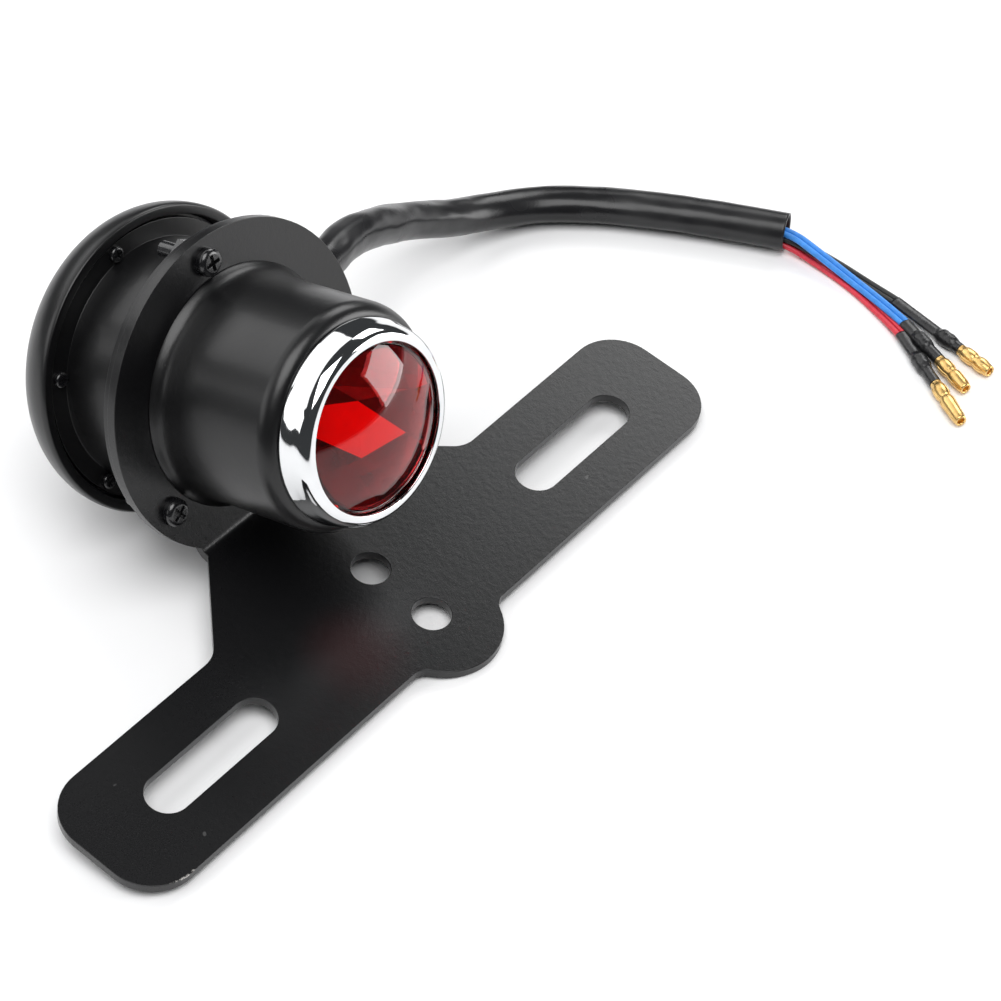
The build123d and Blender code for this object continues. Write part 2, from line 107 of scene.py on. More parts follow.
softbox("overhead", (-0.32, -0.45, 1.5), (0, -0.05, 0), (1.2, 1.2), 22)
softbox("right_panel", (1.13, 0.27, 0.86), (0.06, -0.05, 0), (0.6, 0.7), 6)
softbox("overhead_back", (-0.25, 1.05, 1.40), (-0.1, 0, 0.05), (3.2, 0.9), 13)
softbox("behind", (-0.05, 1.30, 0.80), (0, 0, 0.05), (1.1, 0.35), 3)
softbox("behind_left", (-1.05, 0.68, 0.62), (0, 0, 0.05), (1.0, 0.5), 3)
softbox("front_right", (0.98, -0.92, 0.26), (0.0, -0.05, 0.05), (0.72, 0.72), 11)


# ------------------------------------------------------------------ wire sleeve
# Soft black vinyl tube, 10 mm across, pulled over the six wires.  It leaves the spacer
# through the grommet, drops to the bench, lies rather flat there, and is cut off square.
class Socket:
    """One output of a shader node; arithmetic on it adds Math nodes."""

    def __init__(self, tree, socket=None):
        self.tree, self.socket = tree, socket

    def node(self, kind, settings=None, out=0, inputs=(), **named):
        """New node: its settings first, then its sockets by index or by name."""
        made = self.tree.nodes.new("ShaderNode" + kind)
        for key, value in (settings or {}).items():
            if key == "stops":
                elements = made.color_ramp.elements
                while len(elements) < len(value):
                    elements.new(1.0)
                for element, (position, colour) in zip(elements, value):
                    element.position, element.color = position, colour
            else:
                setattr(made, key, value)
        wanted = list(enumerate(inputs)) + [(k.replace("_", " "), v) for k, v in named.items()]
        for key, value in wanted:
            if isinstance(value, Socket):
                self.tree.links.new(value.socket, made.inputs[key])
            elif value is not None:
                made.inputs[key].default_value = value
        return Socket(self.tree, made.outputs[out])

    def maths(self, operation, *values):
        return self.node("Math", {"operation": operation}, inputs=values)

    def blend(self, first, second):
        """Colour that turns from the first into the second as this value rises."""
        mixed = self.node("Mix", {"data_type": "RGBA"}, out=2, inputs=(self,))
        slots = mixed.socket.node.inputs
        for slot, value in ((6, first), (7, second)):
            if isinstance(value, Socket):
                self.tree.links.new(value.socket, slots[slot])
            else:
                slots[slot].default_value = (*value[:3], 1)
        return mixed

    def band(self, low, high):
        """0 below low, 1 above high, and smooth between."""
        return self.node(
            "MapRange", {"interpolation_type": "SMOOTHSTEP"},
            inputs=(self, low, high, 0.0, 1.0),
        )

    def __add__(self, other):
        return self.maths("ADD", self, other)

    def __radd__(self, other):
        return self.maths("ADD", other, self)

    def __sub__(self, other):
        return self.maths("SUBTRACT", self, other)

    def __rsub__(self, other):
        return self.maths("SUBTRACT", other, self)

    def __mul__(self, other):
        return self.maths("MULTIPLY", self, other)

    def __rmul__(self, other):
        return self.maths("MULTIPLY", other, self)


def finish(name, colour, roughness, **constants):
    """New material: its shader's fixed values, and the sockets that start its pattern."""
    paint = bpy.data.materials.new(name)
    paint.use_nodes = True
    tree = paint.node_tree
    shader = tree.nodes["Principled BSDF"]
    shader.inputs["Base Color"].default_value = (*colour, 1)
    shader.inputs["Roughness"].default_value = roughness
    for key, value in constants.items():
        shader.inputs[key.replace("_", " ")].default_value = value
    start = Socket(tree)
    place = start.node("TexCoord", out=3)
    return paint, shader, place


def wear(shader, **links):
    """Joins patterns to a shader's sockets."""
    for key, value in links.items():
        value.tree.links.new(value.socket, shader.inputs[key.replace("_", " ")])


def speckle(place, scale, detail=2.0, rough=0.5):
    """Noise on a place, from 0 to 1."""
    return place.node("TexNoise", Vector=place, Scale=scale, Detail=detail, Roughness=rough)


def dent(height, distance, strength=1.0):
    """Normal from a height pattern, in metres of relief."""
    return height.node("Bump", Strength=strength, Distance=distance, Height=height)


def show(piece, paint, body="root"):
    """Gives a finished mesh its material and lets it ride on a body."""
    piece.data.materials.clear()
    piece.data.materials.append(paint)
    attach(piece, body)
    return piece


def settled(name, bm, smooth=True):
    """Turns a bmesh into a piece, with merged points and outward faces."""
    bmesh.ops.remove_doubles(bm, verts=bm.verts, dist=1e-6)
    bmesh.ops.recalc_face_normals(bm, faces=bm.faces)
    for face in bm.faces:
        face.smooth = smooth
    mesh = bpy.data.meshes.new(name)
    bm.to_mesh(mesh)
    bm.free()
    piece = bpy.data.objects.new(name, mesh)
    scene.collection.objects.link(piece)
    return piece


def cord_line(name, points):
    """Smooth open spline along a cord's route."""
    curve = bpy.data.curves.new(name, "CURVE")
    curve.dimensions = "3D"
    curve.resolution_u = 24
    spline = curve.splines.new("NURBS")
    spline.points.add(len(points) - 1)
    for point, place in zip(spline.points, points):
        point.co = (*place, 1)
    spline.order_u = 3
    spline.use_endpoint_u = True
    return bpy.data.objects.new(name, curve)


def points_along(route, step):
    """Points at nearly even steps on the smooth line of a route."""
    line = cord_line("route", route)
    traced = bpy.data.meshes.new_from_object(line)
    raw = [v.co.copy() for v in traced.vertices]
    bpy.data.meshes.remove(traced)
    bpy.data.curves.remove(line.data)
    reach = [0.0]
    for before, after in zip(raw, raw[1:]):
        reach.append(reach[-1] + (after - before).length)
    count = max(2, round(reach[-1] / step))
    found, index = [], 0
    for number in range(count + 1):
        target = reach[-1] * number / count
        while index < len(raw) - 2 and reach[index + 1] < target:
            index += 1
        share = (target - reach[index]) / (reach[index + 1] - reach[index])
        found.append(raw[index].lerp(raw[index + 1], min(max(share, 0.0), 1.0)))
    return found


def extruded(bm, edges):
    """Extrudes a loop of edges and gives the new loop's points and edges."""
    made = bmesh.ops.extrude_edge_only(bm, edges=edges)["geom"]
    fresh = [item for item in made if isinstance(item, bmesh.types.BMVert)]
    loop = [item for item in made if isinstance(item, bmesh.types.BMEdge)
            and all(v in fresh for v in item.verts)]
    return fresh, loop


def swept(path, outline, segments):
    """Open tube along a path; outline(share, turn) gives each point's (across, up)."""
    bm = bmesh.new()
    ring = bmesh.ops.create_circle(bm, segments=segments, radius=1.0)["verts"]
    edges = list({edge for vert in ring for edge in vert.link_edges})
    rings = [ring]
    for _ in path[1:]:
        fresh, edges = extruded(bm, edges)
        rings.append([next(e.other_vert(vert) for e in vert.link_edges
                           if e.other_vert(vert) in fresh) for vert in rings[-1]])
    for number, (here, verts) in enumerate(zip(path, rings)):
        ahead = path[min(number + 1, len(path) - 1)] - path[max(number - 1, 0)]
        ahead.normalize()
        across = ahead.cross(Vector((0, 0, 1))).normalized()
        up = across.cross(ahead).normalized()
        share = number / (len(path) - 1)
        for index, vert in enumerate(verts):
            a, b = outline(share, tau * index / segments)
            vert.co = here + across * a + up * b
    return bm, rings


sleeve_route = [
    (0.0310, 0.0234, 0.0391), (0.0460, 0.0262, 0.0386), (0.0615, 0.0314, 0.0348),
    (0.0770, 0.0342, 0.0270), (0.0915, 0.0356, 0.0182), (0.1055, 0.0348, 0.0106),
    (0.1180, 0.0316, 0.0066), (0.1296, 0.0248, 0.0053), (0.1400, 0.0116, 0.0052),
    (0.1490, -0.0044, 0.0052), (0.1558, -0.0186, 0.0052), (0.1610, -0.0310, 0.0053),
]
sleeve_radius = 0.0050
base_share = 0.985  # of the radius, before the creases
# The cut end turned inwards: share of the radius, and depth
mouth_steps = ((0.93, 0.0), (0.86, 0.0003), (0.84, 0.006), (0.80, 0.012))


def sleeve_outline(share, turn):
    """Round at both ends, flatter and wrinkled where it lies on the bench."""
    lying = min(max((share - 0.35) / 0.25, 0.0), 1.0) * min(1.0, (1 - share) * 7)
    flat = 0.09 * lying
    crumple = noise.noise(Vector((share * 15, 1.5 * cos(turn), 1.5 * sin(turn))))
    fine = noise.noise(Vector((share * 34, 1.8 * cos(turn), 1.8 * sin(turn) + 7)))
    ends = min(1.0, share * 9, (1 - share) * 9)
    calm = 1.0 if share < 0.5 else 0.45
    radius = sleeve_radius * (base_share + ends * calm * (0.075 * crumple + 0.03 * fine))
    lift = max(sin(turn), -0.93)
    return radius * (1 + 0.7 * flat) * cos(turn), radius * (1 - flat) * lift


sleeve_path = points_along(sleeve_route, 0.0007)
bm, rings = swept(sleeve_path, sleeve_outline, 56)
mouth = sleeve_path[-1]
back = (sleeve_path[-12] - mouth).normalized()
lip = [edge for edge in bm.edges if edge.is_boundary and all(v in rings[-1] for v in edge.verts)]
for share, depth in mouth_steps:
    ring, lip = extruded(bm, lip)
    middle = sum((v.co for v in ring), Vector()) / len(ring)
    for vert in ring:
        spoke = vert.co - middle
        vert.co = mouth + back * depth + spoke.normalized() * sleeve_radius * base_share * share
bmesh.ops.holes_fill(bm, edges=[edge for edge in bm.edges if edge.is_boundary])
wire_sleeve = settled("wire_sleeve_vinyl", bm)

vinyl, shader, place = finish("sleeve_vinyl", (0.010, 0.010, 0.011), 0.3,
                              Specular_IOR_Level=0.38)
creases = speckle(place, 260.0, 3.0, 0.6)
haze = speckle(place, 60.0, 2.0)
wear(shader, Roughness=0.2 + haze * 0.16,
     Normal=dent(creases, 0.0004, 0.10),
     Base_Color=haze.band(0.35, 0.7).blend((0.009, 0.009, 0.010), (0.020, 0.020, 0.021)))
show(wire_sleeve, vinyl)
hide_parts("wire_sleeve")

# ------------------------------------------------------------------ wires
# Six limp 1.5 mm vinyl-covered wires in three pairs.  The blue pair lies in the groove
# between the red and the black, and each pair runs into one bullet terminal.
wire_radius = 0.00075
wire_pitch = 0.00156
# One point more inside the sleeve and one more inside the heat-shrink than the packed
# wires have, so these are longer
wire_routes = {
    "red": [(0.1566, -0.0235, 0.0042), (0.1606, -0.0314, 0.0022), (0.1604, -0.0423, 0.0009),
            (0.1586, -0.0530, 0.0008), (0.1553, -0.0635, 0.0008), (0.1509, -0.0737, 0.0015),
            (0.1499, -0.0754, 0.0016)],
    "blue": [(0.1575, -0.0228, 0.0060), (0.1609, -0.0310, 0.0062), (0.1601, -0.0422, 0.0043),
             (0.1593, -0.0520, 0.0024), (0.1571, -0.0620, 0.0023), (0.1540, -0.0725, 0.0024),
             (0.1532, -0.0744, 0.0024)],
    "black": [(0.1570, -0.0232, 0.0050), (0.1606, -0.0311, 0.0041), (0.1617, -0.0392, 0.0028),
              (0.1627, -0.0472, 0.0012), (0.1619, -0.0560, 0.0008), (0.1603, -0.0655, 0.0015),
              (0.1599, -0.0675, 0.0015)],
}
wire_colours = {"red": (0.74, 0.040, 0.065), "blue": (0.045, 0.28, 0.80),
                "black": (0.022, 0.022, 0.022)}
# Each bullet's tip, the length of its heat-shrink and where the crimp swells it
pair_ends = {
    "red": ((0.1330, -0.1030, 0.0021), 0.0200, 0.0102),
    "blue": ((0.1435, -0.0976, 0.0021), 0.0155, 0.0066),
    "black": ((0.1526, -0.0987, 0.0021), 0.0238, 0.0174),
}


def beside(route, side):
    """The route of one wire of a pair, half a pitch to one side."""
    spots = [Vector(spot) for spot in route]
    moved = []
    for number, here in enumerate(spots):
        heading = spots[min(number + 1, len(spots) - 1)] - spots[max(number - 1, 0)]
        across = Vector((-heading.y, heading.x, 0)).normalized()
        moved.append(here + across * (side * wire_pitch / 2))
    return moved


wires = {}
for colour, route in wire_routes.items():
    covering, shader, place = finish(f"{colour}_wire_vinyl", wire_colours[colour], 0.36,
                                     Specular_IOR_Level=0.45)
    scuff = speckle(place, 900.0, 3.0)
    deep = tuple(c * 0.80 for c in wire_colours[colour])
    wear(shader, Roughness=0.28 + scuff * 0.2,
         Normal=dent(speckle(place, 1500.0, 2.0), 0.00008, 0.5),
         Base_Color=scuff.band(0.3, 0.75).blend(deep, wire_colours[colour]))
    for letter, side in (("a", -1), ("b", 1)):
        name = f"{colour}_wire_{letter}"
        wire = cord_line(name, beside(route, side))
        wire.data.bevel_depth = wire_radius
        wire.data.bevel_resolution = 5
        wire.data.use_fill_caps = True
        scene.collection.objects.link(wire)
        wires[name] = show(wire, covering)
        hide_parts(f"wire_{colour}_{letter}")


# ------------------------------------------------------------------ heat-shrink
# Black shrink tube over each pair, flat where it grips the two wires side by side and
# swollen round the terminal's crimp.
shrink_tubing, shader, place = finish("shrink_tubing", (0.010, 0.010, 0.011), 0.28,
                                      Specular_IOR_Level=0.5)
lines = speckle(place, 700.0, 3.0, 0.6)
wear(shader, Roughness=0.2 + lines * 0.22, Normal=dent(lines, 0.0003, 0.4),
     Base_Color=lines.band(0.35, 0.8).blend((0.007, 0.007, 0.008), (0.024, 0.024, 0.025)))

terminals = {}
for colour, (tip, shrink_length, swell) in pair_ends.items():
    start = Vector(wire_routes[colour][-2])
    heading = (Vector(tip) - start).normalized()
    end = start + heading * shrink_length

    def shrink_outline(share, turn, swell=swell, whole=shrink_length, seed=len(terminals)):
        """Half width and half height of the tube along its length."""
        along = share * whole
        rise = min(max((along - swell + 0.0022) / 0.0022, 0.0), 1.0)
        fall = min(max((along - swell - 0.0030) / 0.0018, 0.0), 1.0)
        body = rise * rise * (3 - 2 * rise) * (1 - fall * fall * (3 - 2 * fall))
        wide = 0.00168 + 0.00032 * body - 0.00012 * fall
        tall = 0.00100 + 0.00100 * body + 0.00055 * fall
        knob = noise.noise(Vector((along * 900 + seed * 5, 1.7 * cos(turn), 1.7 * sin(turn))))
        wobble = 1 + 0.07 * knob * (0.3 + body)
        return wide * cos(turn) * wobble, tall * sin(turn) * wobble

    steps = 48
    path = [start.lerp(end, number / steps) for number in range(steps + 1)]
    bm, rings = swept(path, shrink_outline, 32)
    for ring, way in ((rings[0], heading), (rings[-1], -heading)):
        edges = [e for e in bm.edges if e.is_boundary and all(v in ring for v in e.verts)]
        inner, _ = extruded(bm, edges)
        middle = sum((v.co for v in inner), Vector()) / len(inner)
        for vert in inner:
            vert.co = middle + (vert.co - middle) * 0.86 + way * 0.0002
    bmesh.ops.holes_fill(bm, edges=[edge for edge in bm.edges if edge.is_boundary])
    shrink = settled(f"shrink_tube_{colour}", bm)
    show(shrink, shrink_tubing)
    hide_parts(f"heat_shrink_{colour}")
    terminals[colour] = [shrink]

# ------------------------------------------------------------------ bullet terminals
# Rolled brass bullets, 4 mm across: crimped neck, slotted barrel, waist and tapered nose
# with a hollow end.  Each stands on the end of its heat-shrink.
brass, shader, place = finish("rolled_brass", (0.86, 0.60, 0.26), 0.26, Metallic=1.0)
tarnish = speckle(place, 420.0, 4.0, 0.6)
drawn = speckle(place, 2400.0, 3.0)
wear(shader, Roughness=0.2 + tarnish * 0.16 + drawn * 0.06,
     Normal=dent(drawn, 0.00004, 0.4),
     Base_Color=tarnish.band(0.4, 0.85).blend((0.82, 0.55, 0.21), (0.58, 0.33, 0.10)))


def turn_outline(outline, placing, steps=96, soften=0.0, keep=radians(22)):
    """Round piece: an outline of (radius, height) spun about Z, its corners softened."""
    bm = bmesh.new()
    verts = [bm.verts.new((radius, 0, height)) for radius, height in outline]
    edges = [bm.edges.new(pair) for pair in zip(verts, verts[1:])]
    if outline[0][0] > 1e-9 or outline[-1][0] > 1e-9:
        edges.append(bm.edges.new((verts[-1], verts[0])))
    bmesh.ops.spin(bm, geom=verts + edges, axis=(0, 0, 1), cent=(0, 0, 0), angle=tau,
                   steps=steps, use_merge=True)
    bmesh.ops.remove_doubles(bm, verts=bm.verts, dist=1e-7)
    bmesh.ops.recalc_face_normals(bm, faces=bm.faces)
    if soften:
        sharp = [e for e in bm.edges if len(e.link_faces) == 2 and e.calc_face_angle() > keep]
        bmesh.ops.bevel(bm, geom=sharp, offset=soften, segments=3, profile=0.5,
                        affect="EDGES", material=-1, clamp_overlap=True)
    bmesh.ops.transform(bm, matrix=placing, verts=bm.verts)
    return bm


def evened(piece):
    """Keeps flat faces flat in the shading beside their softened edges."""
    piece.modifiers.new("evened", "WEIGHTED_NORMAL").keep_sharp = True
    return piece


slit_reach = 0.07  # of the radius, to either side of a slit's middle
for colour, (tip, shrink_length, swell) in pair_ends.items():
    start = Vector(wire_routes[colour][-2])
    heading = (Vector(tip) - start).normalized()
    foot = start + heading * shrink_length
    whole = (Vector(tip) - foot).length
    across = Vector((0, 0, 1)).cross(heading).normalized()
    placing = Matrix.Translation(foot) @ Matrix(
        (across, heading.cross(across), heading)).transposed().to_4x4()
    outline = [
        (0.0, -0.002), (0.00130, -0.002), (0.00150, 0.0), (0.00155, 0.0009), (0.00172, 0.0013),
        (0.00190, 0.0018), (0.00195, 0.0030), (0.00193, 0.0042), (0.00172, 0.0049),
        (0.00160, 0.0054), (0.00176, 0.0060), (0.00195, 0.0067), (0.00193, 0.0078),
        (0.00172, whole - 0.0016), (0.00150, whole - 0.0004), (0.00138, whole),
        (0.00100, whole), (0.00094, whole - 0.0004), (0.00090, whole - 0.0026),
        (0.0, whole - 0.0028),
    ]
    bm = turn_outline(outline, Matrix.Identity(4), steps=48)
    strips = [face for face in bm.faces
              if 0.0014 < face.calc_center_median().z < whole - 0.0012
              and face.calc_center_median().xy.length > 0.0013]
    for corner in (0.9, 0.9 + tau / 3, 0.9 + 2 * tau / 3):
        spoke = Vector((cos(corner), sin(corner)))
        slit = [face for face in strips
                if (spoke - face.calc_center_median().xy.normalized()).length < slit_reach]
        bmesh.ops.inset_region(bm, faces=slit, thickness=0.00004, depth=-0.00022)
    bmesh.ops.transform(bm, matrix=placing, verts=bm.verts)
    bullet = evened(settled(f"brass_bullet_{colour}", bm))
    show(bullet, brass)
    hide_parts(f"bullet_{colour}")
    terminals[colour].append(bullet)
    for letter in "ab":
        wire = wires[f"{colour}_wire_{letter}"]
        route = beside(wire_routes[colour], -1 if letter == "a" else 1)
        traced = points_along(route, 0.001)
        # Measured on the drawn line itself, so it always agrees with what is drawn
        length = sum((b - a).length for a, b in zip(traced, traced[1:]))

# ------------------------------------------------------------------ licence bracket
# One 2.4 mm steel pressing in satin black powder coat, rubbed bare at the near left
# corner.  Its side walls wear a darker, duller copy of the coat as painted shade, and a
# faint red patch on the top face is a painted reflection of the lens.
def cad_copy(node, soften=0.0, flat=1.0, keep=30.0, segments=3):
    """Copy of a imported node's mesh with merged flat faces and softened sharp edges."""
    bm = bmesh.new()
    bm.from_mesh(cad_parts[node].data)
    bmesh.ops.remove_doubles(bm, verts=bm.verts, dist=1e-6)
    bmesh.ops.dissolve_limit(bm, angle_limit=radians(flat), verts=bm.verts, edges=bm.edges)
    if soften:
        sharp = [e for e in bm.edges if len(e.link_faces) == 2
                 and e.calc_face_angle() > radians(keep)]
        bmesh.ops.bevel(bm, geom=sharp, offset=soften, segments=segments, profile=0.5,
                        affect="EDGES", material=-1, clamp_overlap=True)
    return bm


plate_slope, lamp_slope = radians(8.7), radians(15)
plate_normal = Vector((0, -sin(plate_slope), cos(plate_slope)))
lamp_axis = Vector((0, -cos(lamp_slope), sin(lamp_slope)))
wall_limit = 0.30  # a face turned further than this from both normals is a side wall
bm = cad_copy("licence_bracket", 0.0006)
for face in bm.faces:
    face.normal_update()
    upright = max(abs(face.normal.dot(plate_normal)), abs(face.normal.dot(lamp_axis)))
    face.material_index = int(upright < wall_limit)
bracket = evened(settled("bracket_plate", bm))
powder, shader, place = finish("powder_coat", (0.0045, 0.0045, 0.005), 0.28,
                               Specular_IOR_Level=0.5)
grain = speckle(place, 2600.0, 2.0, 0.5)
orange_peel = speckle(place, 700.0, 2.0, 0.5)
cloudy = speckle(place, 14.0, 2.0)
lint = speckle(place, 330.0, 1.0).band(0.80, 0.84)
rub = speckle(place, 900.0, 4.0, 0.7)


def near(place, spot, inner, outer, axes=(1, 1, 1)):
    """1 close to a spot and 0 beyond it, with its own scale for each axis."""
    shift = place.node("VectorMath", {"operation": "SUBTRACT"}, inputs=(place, spot))
    size = shift.node("VectorMath", {"operation": "MULTIPLY"}, inputs=(shift, axes))
    reach = size.node("VectorMath", {"operation": "LENGTH"}, out=1, inputs=(size,))
    return 1 - reach.band(inner, outer)


corner_ring = 1 - near(place, (-0.0884, -0.0430, 0.0055), 0.01105, 0.0114)
chips = corner_ring * near(place, (-0.0905, -0.0545, 0.0046), 0.0015, 0.0062, (1, 1, 3.2))
bare = (rub + chips * 0.22).band(0.62, 0.70) * chips.band(0.1, 0.5)
# Painted reflection: a faint red patch on the top face where the lens would be mirrored.
painted_lens_reflection = near(place, (-0.0200, -0.0415, 0.0058), 0.002, 0.016)
wear(shader, Roughness=0.23 + cloudy * 0.07 + grain * 0.05,
     Normal=dent(grain * 0.6 + orange_peel, 0.00006, 0.55),
     Metallic=bare,
     Base_Color=bare.blend(
         lint.blend(painted_lens_reflection.blend((0.0042, 0.0042, 0.0048), (0.016, 0.0042, 0.0048)),
                    (0.05, 0.05, 0.05)), (0.62, 0.60, 0.57)))
show(bracket, powder)
# Painted shade: a darker, duller copy of the powder coat for the side walls, so that they read
# darker.
shaded_side_walls, shader, place = finish("powder_coat_edge", (0.004, 0.004, 0.0045), 0.6,
                                 Specular_IOR_Level=0.18)
wear(shader, Roughness=0.5 + speckle(place, 900.0) * 0.2,
     Normal=dent(speckle(place, 900.0), 0.00006, 0.5))
bracket.data.materials.append(shaded_side_walls)
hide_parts("licence_bracket")

# ------------------------------------------------------------------ lamp housing
# Spun steel can with a rolled shoulder, gloss black enamel, screwed to the bracket's ring.
# Round parts from here on share the lamp's axis, which rises 15 degrees towards -Y.
lamp_centre = Vector((0.0, 0.0095194, 0.0428691))
lamp_place = Matrix.Translation(lamp_centre) @ Matrix(
    ((1, 0, 0), (0, sin(lamp_slope), cos(lamp_slope)), lamp_axis)).transposed().to_4x4()


def millimetres(outline):
    """An outline given in millimetres, in metres."""
    return [(radius / 1000, station / 1000) for radius, station in outline]


enamel, shader, place = finish("gloss_enamel", (0.0045, 0.0045, 0.005), 0.2,
                               Specular_IOR_Level=0.45, Coat_Weight=0.06, Coat_Roughness=0.12)
ripple = speckle(place, 520.0, 2.0, 0.5)
dust = speckle(place, 1900.0, 1.0).band(0.78, 0.84)
wear(shader, Roughness=0.27 + speckle(place, 40.0, 3.0) * 0.12,
     Normal=dent(ripple, 0.00005, 0.5),
     Base_Color=dust.blend((0.0045, 0.0045, 0.005), (0.03, 0.03, 0.03)))

housing_outline = millimetres([
    (28.6, 0.0), (28.58, 0.3), (28.3, 0.8), (27.85, 1.3), (27.4, 1.9), (27.05, 2.7),
    (26.8, 3.8), (26.62, 5.4), (26.5, 7.6), (26.5, 16.0),
    (26.5, 31.2), (26.38, 32.1), (26.1, 33.0), (25.65, 33.8), (25.0, 34.5), (24.25, 34.95),
    (23.4, 35.2), (21.7, 35.2), (21.7, 38.6), (19.5, 38.6), (19.5, 35.4), (24.3, 31.0),
    (24.3, 5.0), (9.3, 5.0), (9.3, 2.5), (24.3, 2.5), (24.3, 0.0),
])
housing = evened(settled("housing_can", turn_outline(
    housing_outline, lamp_place, steps=160, soften=0.00025, keep=radians(40))))
show(housing, enamel)
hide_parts("lamp_housing")

# ------------------------------------------------------------------ chrome bezel
# Pressed brass ring, mirror chrome: cylindrical skirt, rolled front edge, flat face.
chrome, shader, place = finish("mirror_chrome", (0.86, 0.87, 0.88), 0.04, Metallic=1.0)
waves = speckle(place, 130.0, 2.0, 0.5)
wipe = speckle(place, 1500.0, 3.0)
wear(shader, Roughness=0.03 + wipe * 0.05, Normal=dent(waves, 0.0004, 0.25),
     Base_Color=speckle(place, 90.0).band(0.3, 0.7).blend((0.73, 0.74, 0.75), (0.79, 0.80, 0.81)))
bezel_outline = millimetres([
    (21.8, 35.3), (23.7, 35.3), (23.78, 35.7), (23.75, 36.2), (23.6, 37.3), (23.3, 38.4),
    (23.12, 39.3), (22.95, 40.2), (22.75, 40.85), (22.5, 41.4), (22.22, 41.9), (21.85, 42.33),
    (21.45, 42.62), (21.0, 42.78), (20.5, 42.82), (19.9, 42.78), (19.7, 42.6), (19.7, 41.9),
    (21.8, 41.9),
])
bezel = evened(settled("bezel_ring", turn_outline(
    bezel_outline, lamp_place, steps=160, soften=0.00008, keep=radians(40))))
show(bezel, chrome, "bezel")
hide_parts("lens_bezel")

# ------------------------------------------------------------------ lens
# Clear red dome over a block of large flat facets.  The block is opaque and its light
# and shade are painted: one facet a bright painted highlight, those at the right a painted
# glow of random strength, the rest painted dark, so nothing behind it shows through.
ruby, shader, place = finish("ruby_dome", (1.0, 0.10, 0.105), 0.0, Transmission_Weight=1.0,
                             IOR=1.46)
wear(shader, Roughness=speckle(place, 300.0).band(0.2, 1.0) * 0.02)


def cap_outline(edge, base, top, steps, ahead=True):
    """Points of a round cap from its edge to its top."""
    rise = top - base
    radius = (edge * edge + rise * rise) / (2 * rise)
    centre = top - radius
    full = asin(min(1.0, edge / radius))
    found = [(radius * sin(full * (1 - n / steps)), centre + radius * cos(full * (1 - n / steps)))
             for n in range(steps + 1)]
    return found if ahead else found[::-1]


dome_outline = ([(21.6, 40.1), (21.6, 41.85), (19.45, 41.85)]
                + cap_outline(19.4, 41.9, 47.5, 24)
                + cap_outline(18.3, 40.6, 45.7, 24, ahead=False) + [(18.3, 40.1)])
bm = turn_outline(millimetres(dome_outline), lamp_place, steps=128, keep=radians(60))
dome = settled("lens_dome", bm)
show(dome, ruby, "bezel")
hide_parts("lens")

facet_lines = [  # two points of each cut, millimetres across and up the lens's face
    ((-3.4, 9.5), (7.4, -5.8)), ((-9.1, -2.7), (7.4, -5.8)), ((-15.6, 7.2), (-9.0, -0.6)),
    ((-11.6, 13.2), (-3.4, 9.5)), ((11.0, 14.0), (12.6, -12.0)), ((-10.0, -4.0), (-4.0, -17.0)),
    ((1.0, -17.0), (9.0, -5.0)), ((-2.0, 17.0), (10.0, 8.0)), ((-16.0, -6.0), (16.0, -11.5)),
]
# The block in millimetres: its radius, the height of its edge and middle, its thickness
facet_radius, facet_rim, facet_floor, facet_crown, facet_thick = 17.8, 40.3, 40.5, 1.9, 1.1
bm = bmesh.new()
bmesh.ops.create_circle(bm, cap_ends=True, segments=64, radius=facet_radius / 1000)
for start, end in facet_lines:
    first, second = Vector((*start, 0)) / 1000, Vector((*end, 0)) / 1000
    run = second - first
    bmesh.ops.bisect_plane(bm, geom=bm.verts[:] + bm.edges[:] + bm.faces[:], plane_co=first,
                           plane_no=Vector((-run.y, run.x, 0)), dist=1e-6)


def kite_depth(spot):
    """How far inside the bright facet a spot is, in metres; negative outside it."""
    depth = 1.0
    for (start, end), inward in zip(facet_lines[:4], (-1, 1, 1, -1)):
        first, second = Vector((*start, 0)) / 1000, Vector((*end, 0)) / 1000
        run = (second - first).normalized()
        off = spot - first
        depth = min(depth, inward * (run.x * off.y - run.y * off.x))
    return depth


# Painted light and shade per facet: the kite a painted highlight, the right side a painted glow,
# the rest painted dark.
facet_painted_light = bm.faces.layers.float.new("tone")
for face in bm.faces:
    middle = face.calc_center_median() * 1000
    mixed = noise.cell(Vector((middle.x * 0.9 + 40, middle.y * 0.7 + 9, 3)))
    face[facet_painted_light] = 1.0 if kite_depth(middle / 1000) > 0 else (
        0.05 + 0.50 * max(0.0, mixed) if middle.x > 10 else 0.10 * abs(mixed))
for vert in bm.verts:
    spot = vert.co * 1000
    hump = facet_crown * (1 - (spot.x ** 2 + spot.y ** 2) / facet_radius ** 2)
    uneven = 0.5 * noise.noise(Vector((spot.x * 0.4, spot.y * 0.4, 5)))
    vert.co.z = (facet_floor + hump + uneven) / 1000
    if spot.xy.length > facet_radius - 0.1:
        vert.co.z = facet_rim / 1000
made = bmesh.ops.extrude_face_region(bm, geom=bm.faces[:])["geom"]
for vert in [item for item in made if isinstance(item, bmesh.types.BMVert)]:
    vert.co.z -= facet_thick / 1000
bmesh.ops.transform(bm, matrix=lamp_place, verts=bm.verts)
facets = settled("lens_facets", bm, smooth=False)
facet_red, shader, place = finish("facet_red", (0.5, 0.004, 0.004), 0.15,
                                  Specular_IOR_Level=0.12)
# The painted light and shade of each facet picks its colour, from dark to bright red.
tone = place.node("Attribute", {"attribute_name": "tone", "attribute_type": "GEOMETRY"}, out=2)
shade = speckle(place, 160.0, 2.0)
wear(shader, Base_Color=(tone + (shade - 0.5) * 0.16).blend((0.010, 0.0005, 0.0008),
                                                           (1.0, 0.022, 0.014)),
     Normal=dent(speckle(place, 420.0, 2.0), 0.0002, 0.3))
show(facets, facet_red, "bezel")
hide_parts("lens")

